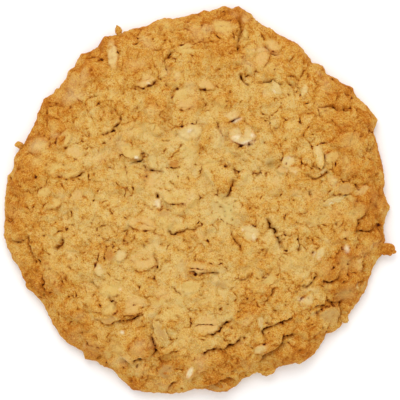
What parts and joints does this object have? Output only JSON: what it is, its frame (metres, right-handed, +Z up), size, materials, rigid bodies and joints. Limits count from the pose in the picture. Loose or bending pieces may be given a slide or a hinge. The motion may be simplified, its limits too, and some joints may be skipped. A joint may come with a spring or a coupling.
{
  "type": "oatmeal cookie",
  "caption": "Round baked oatmeal cookie with a cracked, lumpy golden top, oat flakes in relief and a flat base to rest on.",
  "frame": {"origin": "on the flat base, at the middle of the outline's box", "axes": "+Z up from the flat base through the cracked top, +Y towards the picture's top edge, +X towards its right"},
  "size_m": [0.1024, 0.101, 0.0139],
  "materials": {
    "crust": "dull golden baked crust, browner on the rim and paler over the oat flakes"
  },
  "bodies": {
    "root": {"cookie": "crust"}
  },
  "joints": []
}
